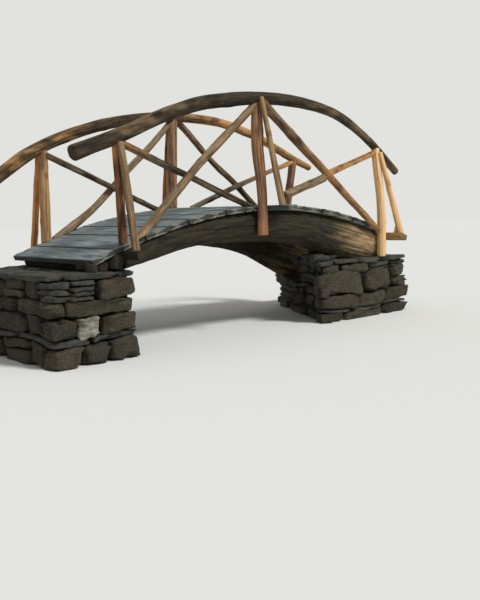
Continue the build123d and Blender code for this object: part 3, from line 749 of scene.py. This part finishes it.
def board(node, thickness, finish, slot, seed, **look):
    """A board in its CAD node's box: its middle lies on the arch's radius, and the box is as wide as the
    board turned by that radius's angle."""
    low, high = (np.array(corner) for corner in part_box(node))
    middle, size = (low + high) / 2, high - low
    tilt = np.arctan2(middle[0] - crown_x, middle[2] - (crown_z - deck_radius))
    width = (size[0] - thickness * abs(sin(tilt))) / cos(tilt)
    plank(node, middle, width, thickness, size[1], tilt, finish, slot, seed, **look)


right_arm_thickness = 0.062
for number in range(1, 17):
    node = f"deck_board_{number:02d}"
    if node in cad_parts:
        board(node, board_thickness, deck_finish, "deck_wood", 60 + number, gap=0.85, ragged=0.01,
              bare=0.3 if number > 9 else 0.0)
board("outrigger_middle", board_thickness, deck_finish, "outrigger_wood", 80, gap=0.7)
board("outrigger_right", right_arm_thickness, post_finish, "outrigger_wood", 81, bare=0.6)
low, high = (np.array(corner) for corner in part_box("wedge_right"))
plank("wedge_right", (low + high) / 2, width=0.034, thickness=0.086, length=0.03, tilt=0.33,
      finish=peeled_sunlit_finish, slot="post_wood", seed=82, ragged=0.001, sawn=0.0)


# Abutments

# Kinds of piece: block, slate, a near-black solid of painted shade behind the joints, and packing; and
# sizes in metres: a slate's half height, joints, and rises of courses that hold long stones or no flat pairs
block, slate, shade_core, packing = range(4)
slate_half = 0.03
end_joint, bed_joint, corner_lap = 0.003, 0.001, 0.17
thin_course, single_course = 0.075, 0.1


def stone(middle, half, along=(1.0, 0.0), shade=None):
    """A stone to be laid: its middle, half sizes, direction in plan, and tone, where None is a random one."""
    return middle, half, along, shade


def stones(centres, halves, along, seed):
    """Worn blocks: a sphere's grid whose sines and cosines are raised to a power of 0.22 to 0.6, which gives
    flat faces and round corners. Noise in thin level layers sets them in and out, as in split slate."""
    rows, around = 12, 28
    chance = np.random.default_rng(seed)

    def each(low, high):
        return chance.uniform(low, high, (len(centres), 1, 1))

    def squared(value, power):
        return np.sign(value) * np.abs(value) ** power

    blunt = each(0.3, 0.6)
    flat = each(0.22, 0.42)
    lift = np.linspace(-pi / 2 + 0.1, pi / 2 - 0.1, rows)[None, :, None]
    turn = np.linspace(0, 2 * pi, around, endpoint=False)[None, None, :]
    ring = squared(np.cos(lift), flat)
    level_x, level_y = ring * squared(np.cos(turn), blunt), ring * squared(np.sin(turn), blunt)
    ball = np.stack(np.broadcast_arrays(level_x, level_y, squared(np.sin(lift), flat)), -1)
    local = ball * halves[:, None, None, :]
    local[..., 0] += each(-0.3, 0.3) * local[..., 2]
    tip = each(-0.22, 0.22) * halves[:, 2, None, None] / halves[:, 0, None, None]
    local[..., 2] += tip * local[..., 0]
    own = local + (np.arange(len(centres))[:, None, None, None] * 3.7 + seed)
    rough = np.stack([layered(own + shift, (0.07, 0.07, 0.022), seed + shift, 2) for shift in (0, 7, 13)], -1)
    chip = np.abs(layered(own, 0.13, seed + 17, 2))[..., None]
    rough = rough * np.minimum((0.024, 0.024, 0.011), 0.3 * halves[:, None, None, :])
    local = local * (1 - 0.2 * chip) + rough
    across = np.stack([-along[:, 1], along[:, 0]], -1)
    points = centres[:, None, None, :] + np.zeros_like(local)
    points[..., :2] += local[..., :1] * along[:, None, None, :] + local[..., 1:2] * across[:, None, None, :]
    points[..., 2] += local[..., 2]
    quads, fans = tube_faces(rows, around)
    count = rows * around + 2
    offset = np.arange(len(centres))[:, None, None] * count
    body = points.reshape(len(centres), -1, 3)
    poles = np.stack([points[:, 0].mean(1), points[:, -1].mean(1)], 1)
    return (np.concatenate([body, poles], 1), (quads[None] + offset).reshape(-1, 4),
            (fans[None] + offset).reshape(-1, 3), count)


def press(points, corners):
    """Draws what stands out of an outline back to it: a point at a distance d outside it comes to rest
    a tanh(d / a) outside, where a is the allowance."""
    allowed = 0.014
    for start, end in zip(corners, np.roll(corners, -1, 0)):
        ahead = (end - start) / np.linalg.norm(end - start)
        outward = np.array([ahead[1], -ahead[0]])
        out = (points[..., :2] - start) @ outward
        kept = np.where(out > 0, allowed * np.tanh(out / allowed), out)
        points[..., :2] += (kept - out)[..., None] * outward
    return points


class Masonry:
    """Stones gathered course by course, then made into one piece."""

    def __init__(self, node, seed):
        self.node, self.seed = node, seed
        self.chance = np.random.default_rng(seed)
        self.bodies, self.quads, self.fans, self.tones, self.kinds = [], [], [], [], []
        self.total = 0

    def shade(self):
        """A common stone's tone."""
        return self.chance.uniform(0, 0.85)

    def add(self, laid, corners, kind):
        """Lays stones, pressed into an outline if there is one."""
        centres, halves, along, shades = zip(*laid)
        points, quads, fans, count = stones(np.array(centres), np.array(halves), np.array(along),
                                            self.seed + len(self.bodies))
        if corners is not None:
            points = press(points, np.array(corners, float))
        tones = [self.shade() if shade is None else shade for shade in shades]
        self.store(points.reshape(-1, 3), quads, fans, np.repeat(tones, count), kind)

    def store(self, points, quads, fans, tones, kind):
        self.bodies.append(points)
        self.quads.append(quads + self.total)
        self.fans.append(fans + self.total)
        self.tones.append(tones)
        self.kinds.append(np.repeat(kind, len(points) // np.size(kind)).astype(float))
        self.total += len(points)

    def given_face(self, near, start, last_x, ahead, low, top):
        """Stones of a face that is given: for each the x where it ends, its number of layers and its tone."""
        laid = []
        begin = start[0]
        for end, layers, shade in near:
            end = min(end, last_x)
            deep = self.chance.uniform(0.1, 0.12)
            out = self.chance.uniform(-0.006, 0.012)
            each = (top - low) / layers
            for layer in range(layers):
                middle = (begin + end) / 2, start[1] + deep - out, low + each * (layer + 0.5)
                half = (end - begin) / 2 - end_joint, deep, each / 2 - bed_joint
                laid.append(stone(middle, half, ahead, self.shade() if shade is None else shade))
            begin = end
        return laid

    def random_face(self, start, ahead, place, stop, low, rise):
        """Stones of random length between two places on a face. Some places hold two, one on the other."""
        laid = []
        inward = np.array([-ahead[1], ahead[0]])
        while place < stop - 0.02:
            size = self.chance.uniform(*((0.3, 0.7) if rise < thin_course else (0.24, 0.75)))
            if stop - place - size < corner_lap:
                size = stop - place
            deep = self.chance.uniform(0.08, 0.11)
            out = self.chance.uniform(-0.004, 0.016)
            middle = start + ahead * (place + size / 2) + inward * (deep - out)
            whole = rise < single_course or self.chance.uniform() < 0.62
            cuts = [0, 1] if whole else [0, self.chance.uniform(0.35, 0.65), 1]
            for under, over in zip(cuts, cuts[1:]):
                half = size / 2 - end_joint, deep, rise * (over - under) / 2 - bed_joint
                laid.append(stone((*middle, low + rise * (under + over) / 2), half, ahead, self.shade()))
            place += size
        return laid

    def course(self, corners, low, high, number, near, near_high):
        """One course round an outline, whose faces take turns in running through at the corners. The stones
        of the near face may be given, and the height that they reach."""
        corners = np.array(corners, float)
        laid = []
        for face, (start, end) in enumerate(zip(corners, np.roll(corners, -1, 0))):
            length = np.linalg.norm(end - start)
            ahead = (end - start) / length
            if face == 0 and near is not None:
                laid += self.given_face(near, start, end[0], ahead, low, near_high or high)
            else:
                short = 0 if (number + face) % 2 == 0 else corner_lap
                laid += self.random_face(start, ahead, short, length - short, low, high - low)
        kinds = [slate if half[2] < slate_half else block for _, half, _, _ in laid]
        self.add(laid, corners, kinds)

    def lay(self, courses, low, top, seat, outline, far_edge=None, last_near_high=None):
        """Courses from one height to another on an outline that leans in towards the seat. Each has its top
        as a share of the rise, how far its near, stream and far faces stand out, and its near stones."""
        ground = low
        for number, (share, near_out, stream_out, far_out, near) in enumerate(courses):
            high = ground + share * (top - ground)
            lean = abutment_batter * (1 - (low + high) / (2 * seat))
            near_y = -abutment_half_width - lean - near_out
            far_y = abutment_half_width + lean + far_out if far_edge is None else far_edge
            corners = outline(near_y, far_y, stream_out)
            last = number == len(courses) - 1
            self.course(corners, low, high, number, near, last_near_high if last else None)
            low = high
        return corners

    def fill(self, corners, low, high):
        """A near-black solid inside the courses, which paints shade behind the joints: the outline drawn in,
        from one height to another.
        """
        inset = 0.11
        corners = np.array(corners, float)
        inward = corners.mean(0) - corners
        drawn = corners + inward / np.linalg.norm(inward, axis=1)[:, None] * inset
        rows = np.stack([np.insert(drawn, 2, level, axis=1) for level in (low, high)])
        quads, fans = tube_faces(2, len(corners))
        self.store(closed(rows), quads, fans, np.zeros(2 * len(corners) + 2), shade_core)

    def cover(self, corners, top):
        """Flat stones that close the top, in rows of random width, kept inside the outline."""
        half_height, depth, margin, least = 0.022, 0.024, 0.05, 0.03
        low, high = np.min(corners, 0) + margin, np.max(corners, 0) - margin
        laid = []
        y = low[1]
        while y < high[1] - least:
            deep = min(self.chance.uniform(0.2, 0.36), high[1] - y)
            x = low[0]
            while x < high[0] - least:
                size = min(self.chance.uniform(0.25, 0.5), high[0] - x)
                laid.append(stone((x + size / 2, y + deep / 2, top - depth - self.chance.uniform(0, 0.006)),
                                  (size / 2 - end_joint, deep / 2 - end_joint, half_height)))
                x += size
            y += deep
        self.add(laid, corners, slate)

    def finish(self, seat):
        """Settles the stones: slow noise sags the courses, less and less towards the seat and the ground.
        Only packing stones may stand above the CAD node's box."""
        points, kinds = np.concatenate(self.bodies), np.concatenate(self.kinds)
        low, high = (np.array(corner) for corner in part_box(self.node))
        sag, under_seat, over_ground = 0.035, 0.12, 0.1
        fade = np.clip((seat - points[:, 2]) / under_seat, 0, 1) * np.clip(points[:, 2] / over_ground, 0, 1)
        points[:, 2] += sag * fade * noise(points, (0.42, 0.42, 0.5), self.seed)
        points[:, 2] = np.where(kinds == packing, points[:, 2], np.minimum(points[:, 2], high[2]))
        points[:, 2] = np.maximum(points[:, 2], low[2])
        points[:, 0] = np.clip(points[:, 0], low[0], high[0])
        marks = {"tone": np.concatenate(self.tones)}
        marks.update({"slate": (kinds == slate) * 1.0, "fill": (kinds == shade_core) * 1.0})
        add_piece("visual_" + self.node, points, np.concatenate(self.quads), np.concatenate(self.fans), marks,
                  stone_finish, self.node)


# The courses from the bottom up. A near stone whose end is the rest runs to the end of its face
rest = float("inf")
left_courses = [
    (0.26, 0.012, 0.03, 0.01, [(-2.12, 1, None), (-1.861, 1, 0.3), (rest, 1, 0.5)]),
    (0.335, -0.016, 0.005, -0.014, [(-2.0, 1, None), (rest, 1, 0.4)]),
    (0.57, 0.01, 0.003, 0.012, [(-2.142, 1, 0.2), (-1.936, 1, 1.0), (rest, 1, 0.55)]),
    (0.74, -0.006, -0.025, -0.01, [(-2.259, 2, None), (rest, 1, 0.45)]),
    (0.935, 0.012, 0.014, 0.01, [(-2.2, 3, None), (-1.934, 4, None), (rest, 1, 0.5)]),
    (1, -0.006, 0.04, 0.004, None)]
right_low_courses = [
    (0.24, 0.012, -0.012, -0.01, [(1.2, 1, None), (1.88, 1, 0.6), (rest, 1, None)]),
    (0.33, -0.018, -0.036, 0.012, [(1.35, 1, None), (1.9, 1, None), (rest, 1, None)]),
    (0.7, 0.012, -0.01, -0.008, [(1.45, 1, 0.5), (2.0, 1, 0.6), (rest, 1, None)]),
    (1, -0.008, 0.02, 0.01, [(1.6, 1, 0.6), (2.12, 1, 0.5), (rest, 2, None)])]
right_high_courses = [
    (0.41, 0.012, -0.03, 0, []),
    (0.79, -0.014, -0.05, 0, [(1.18, 2, None), (1.72, 1, 0.7), (2.1, 2, None), (rest, 2, None)]),
    (1, 0.012, 0.04, 0, [(1.08, 1, None), (1.5, 1, 0.6), (1.9, 1, None), (rest, 1, None)])]
bridge_end = 2.4
left_face_x = -1.57
right_face_x = 0.83
right_skew = 0.6
right_step_y = 0.06
core_bottom, core_cover = 0.01, 0.04


def left_outline(near_y, far_y, out):
    """Corners of the left abutment, from its far end along the near face to the stream."""
    face_x = left_face_x + out
    return [(-bridge_end, near_y), (face_x, near_y), (face_x, far_y), (-bridge_end, far_y)]


def right_face(y):
    """Place of the right abutment's skewed stream face at y."""
    return right_face_x + right_skew * (y + abutment_half_width)


def right_outline(near_y, far_y, out):
    """Corners of the right abutment, from the stream along the near face."""
    return [(right_face(near_y) - out, near_y), (bridge_end, near_y), (bridge_end, far_y),
            (right_face(far_y) - out, far_y)]


left_seat = float(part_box("abutment_left")[1][2])
pad_top = float(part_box("deck_board_01")[0][2])
masonry_left = Masonry("abutment_left", 91)
corners = masonry_left.lay(left_courses, 0, left_seat, left_seat, left_outline)
masonry_left.cover(corners, left_seat)
masonry_left.fill(corners, core_bottom, left_seat - core_cover)
masonry_left.add([
    stone((-1.885, -0.47, (left_seat + pad_top) / 2 + 0.006), (0.04, 0.055, 0.026), shade=0.5),
    stone((-1.915, -0.645, left_seat + 0.036), (0.05, 0.05, 0.042), (0.8, 0.6), 0.2),
    stone((-1.68, -0.61, left_seat + 0.066), (0.064, 0.11, 0.072), shade=0.1),
    stone((-1.68, 0.6, left_seat + 0.066), (0.064, 0.11, 0.072), shade=0.1)], None, packing)
masonry_left.finish(left_seat)

near_seat = masonry_top
step_height, tall_lap = 0.265, 0.025
far_seat = near_seat - step_height
tall_top = far_seat + right_high_courses[0][0] * (near_seat - far_seat) + tall_lap
masonry_right = Masonry("abutment_right", 92)
corners = masonry_right.lay(right_low_courses, 0, far_seat, near_seat, right_outline, None, tall_top)
masonry_right.fill(corners, core_bottom, far_seat - core_cover)
step = [(right_face(right_step_y) + 0.02, right_step_y), (bridge_end, right_step_y), corners[2], corners[3]]
masonry_right.cover(step, far_seat)
corners = masonry_right.lay(right_high_courses, far_seat, near_seat, near_seat, right_outline, right_step_y)
masonry_right.fill(corners, far_seat - 0.06, near_seat - core_cover)
masonry_right.cover(corners, near_seat)
lip = [(right_face_x - 0.09, -0.77), (1.06, -0.77), (1.06, -0.35), (right_face(-0.35) - 0.09, -0.35)]
masonry_right.add([
    stone((0.87, -0.69, near_seat + 0.032), (0.13, 0.085, 0.033)),
    stone((1.0, -0.56, near_seat + 0.032), (0.1, 0.07, 0.033)),
    stone((1.0, -0.43, near_seat + 0.03), (0.08, 0.07, 0.031))], lip, slate)
masonry_right.add([
    stone((1.16, -0.61, near_seat + 0.018), (0.085, 0.06, 0.026)),
    stone((1.1, -0.47, near_seat + 0.024), (0.08, 0.06, 0.032), (0.94, 0.34)),
    stone((1.28, -0.5, near_seat + 0.012), (0.09, 0.07, 0.02)),
    stone((1.3, -0.31, near_seat + 0.035), (0.12, 0.08, 0.05), (0.9, 0.44))], None, packing)
masonry_right.finish(near_seat)


# Floor, light and background

pale = tone(226, 226, 222)
floor_corners = [(-60, -60, 0), (60, -60, 0), (60, 60, 0), (-60, 60, 0)]
floor_finish = Finish(bpy.data.materials.new("pale_floor"))
floor_mesh = bpy.data.meshes.new("floor")
floor_mesh.from_pydata(floor_corners, [], [(0, 1, 2, 3)])
floor_mesh.materials.append(
    floor_finish.surface({"Base Color": pale, "Roughness": 1.0, "Specular IOR Level": 0.0}))
floor = bpy.data.objects.new("floor", floor_mesh)
bpy.context.scene.collection.objects.link(floor)

sun = bpy.data.objects.new("key", bpy.data.lights.new("key", "SUN"))
sun.data.energy = 2.6
sun.data.angle = 0.22
sun.rotation_euler = Vector((-2.4, 7.6, -8.5)).to_track_quat("-Z", "Y").to_euler()
bpy.context.scene.collection.objects.link(sun)

# The world gives a soft light, and shows as the floor's pale tone to the camera, to gloss and through glass
world = bpy.data.worlds.new("sky")
bpy.context.scene.world = world
sky = Finish(world)
rays = sky.node("LightPath", {}).outputs
camera_or_gloss = sky.math("MAXIMUM", rays["Is Camera Ray"], rays["Is Glossy Ray"])
seen = sky.math("MAXIMUM", camera_or_gloss, rays["Is Transmission Ray"])
light = sky.nodes["Background"]
light.inputs["Color"].default_value = (1, 1, 1, 1)
light.inputs["Strength"].default_value = 0.42
backdrop = sky.node("Background", {"Color": pale, "Strength": 1.0})
either = sky.node("MixShader", {0: seen, 1: light.outputs[0], 2: backdrop.outputs[0]})
sky.join(either.outputs[0], sky.nodes["World Output"].inputs["Surface"])
bpy.context.scene.view_settings.view_transform = "Standard"
